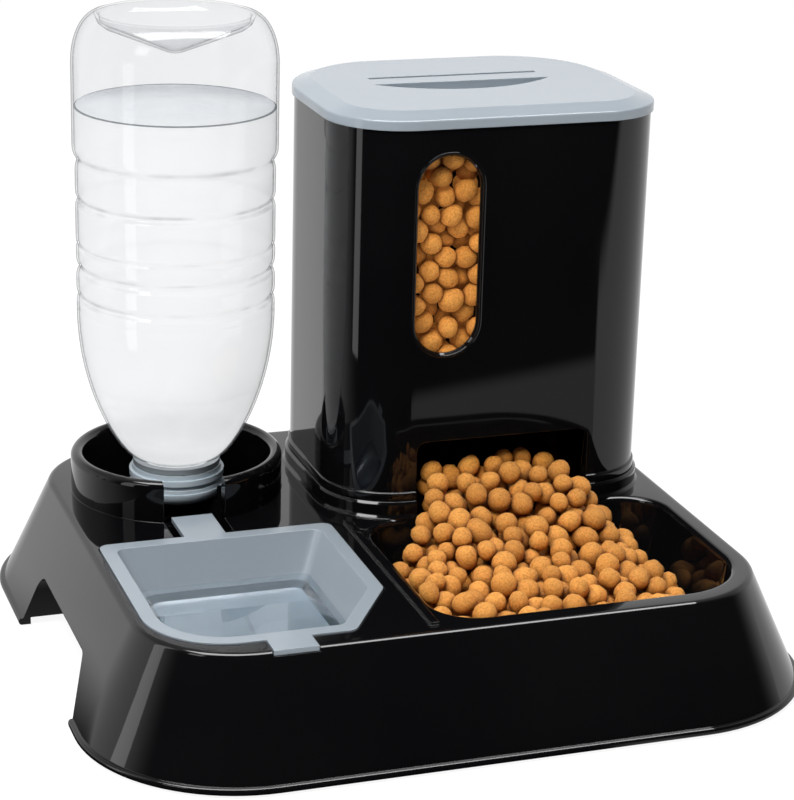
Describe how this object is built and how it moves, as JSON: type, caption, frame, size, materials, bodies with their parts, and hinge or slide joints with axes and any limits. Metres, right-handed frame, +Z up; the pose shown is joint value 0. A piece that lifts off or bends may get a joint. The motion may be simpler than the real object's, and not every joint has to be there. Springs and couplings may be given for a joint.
{
  "type": "automatic pet feeder",
  "caption": "Free-standing pet feeder: gravity food hopper with window and lift-off lid, food bowl, lift-out water dish and an upturned bottle with a sprung valve.",
  "frame": {"origin": "on the floor, under the middle of the tray's flange", "axes": "+X to the right along the front, +Y to the back, +Z up"},
  "size_m": [0.352, 0.326, 0.2965],
  "materials": {
    "black_plastic": "high-gloss injection-moulded black",
    "grey_plastic": "satin blue-grey moulding",
    "clear_plastic": "clear glossy pane",
    "bottle_plastic": "clear blow-moulded bottle plastic",
    "cap_plastic": "translucent grey-blue moulding",
    "rubber": "matt black rubber",
    "seal_rubber": "pale silicone",
    "steel": "plain stainless"
  },
  "bodies": {
    "tray": {"base_tray": "black_plastic", "foot_front_left": "rubber", "foot_front_right": "rubber", "foot_back_left": "rubber", "foot_back_right": "rubber", "feed_chute": "black_plastic", "chute_screw_left": "steel", "chute_screw_right": "steel", "bottle_cradle": "black_plastic"},
    "hopper": {"hopper_shell": "black_plastic", "window_pane": "clear_plastic"},
    "lid": {"lid_cover": "grey_plastic"},
    "dish": {"water_dish": "grey_plastic"},
    "bottle": {"bottle": "bottle_plastic", "tamper_ring": "cap_plastic"},
    "cap": {"valve_cap": "cap_plastic", "cap_washer": "seal_rubber", "spring_retainer": "cap_plastic"},
    "plunger": {"valve_plunger": "cap_plastic", "valve_seal": "seal_rubber", "valve_spring": "steel"}
  },
  "joints": [
    {"name": "hopper_lift", "type": "slide", "parent": "tray", "child": "hopper", "axis": [0, 0, 1], "range_m": [0, 0.06]},
    {"name": "lid_lift", "type": "slide", "parent": "hopper", "child": "lid", "axis": [0, 0, 1], "range_m": [0, 0.04]},
    {"name": "dish_lift", "type": "slide", "parent": "tray", "child": "dish", "axis": [0, 0, 1], "range_m": [0, 0.045]},
    {"name": "bottle_lift", "type": "slide", "parent": "tray", "child": "bottle", "axis": [0, 0, 1], "range_m": [0, 0.08]},
    {"name": "cap_turn", "type": "hinge", "parent": "bottle", "child": "cap", "pos_m": [-0.0888, 0.0712, 0.06], "axis": [0, 0, 1], "range_deg": [0, 540]},
    {"name": "valve_push", "type": "slide", "parent": "cap", "child": "plunger", "axis": [0, 0, 1], "range_m": [-0.0034, 0], "deforming": ["valve_spring"]}
  ],
  "couplings": [
    {"joint": "valve_push", "follows": "bottle_lift", "ratio": -0.0425}
  ]
}
